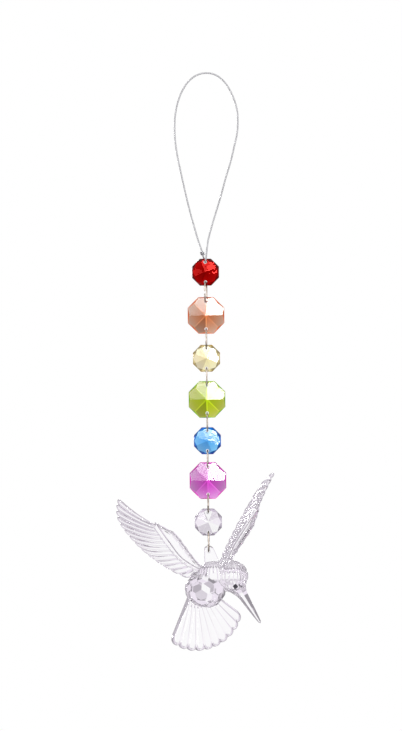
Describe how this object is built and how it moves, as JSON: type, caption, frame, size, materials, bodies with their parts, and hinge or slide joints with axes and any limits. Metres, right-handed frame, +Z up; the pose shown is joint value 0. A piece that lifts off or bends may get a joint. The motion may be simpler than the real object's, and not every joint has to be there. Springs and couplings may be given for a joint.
{
  "type": "hanging beaded ornament",
  "caption": "Hanging ornament: a loop of cord, a chain of octagonal coloured beads joined by wire rings, and a clear cast hummingbird below",
  "frame": {"origin": "the inside of the top of the cord loop, where the hook carries the ornament", "axes": "+Z up along the hanging chain, -Y towards the front faces of the beads, +X to the right seen from the front"},
  "size_m": [0.0834, 0.0402, 0.3007],
  "materials": {
    "cord": "silver-grey braided cord with a soft sheen",
    "red_acrylic": "clear red, polished flat facets",
    "orange_acrylic": "clear peach orange, polished flat facets",
    "yellow_acrylic": "clear pale yellow, polished flat facets",
    "green_acrylic": "clear yellow-green, polished flat facets",
    "blue_acrylic": "clear blue, polished flat facets",
    "pink_acrylic": "clear pink, polished flat facets",
    "clear_acrylic": "water-clear moulded acrylic, polished",
    "silver_wire": "bright silver-plated wire"
  },
  "bodies": {
    "root": {"hanging_cord": "cord", "cord_knot": "cord", "bead_red": "red_acrylic", "bead_orange": "orange_acrylic", "bead_yellow": "yellow_acrylic", "bead_green": "green_acrylic", "bead_blue": "blue_acrylic", "bead_pink": "pink_acrylic", "bead_clear": "clear_acrylic", "ring_red_orange": "silver_wire", "ring_orange_yellow": "silver_wire", "ring_yellow_green": "silver_wire", "ring_green_blue": "silver_wire", "ring_blue_pink": "silver_wire", "ring_pink_clear": "silver_wire", "ring_clear_bird": "silver_wire", "hummingbird": "clear_acrylic"}
  },
  "joints": []
}
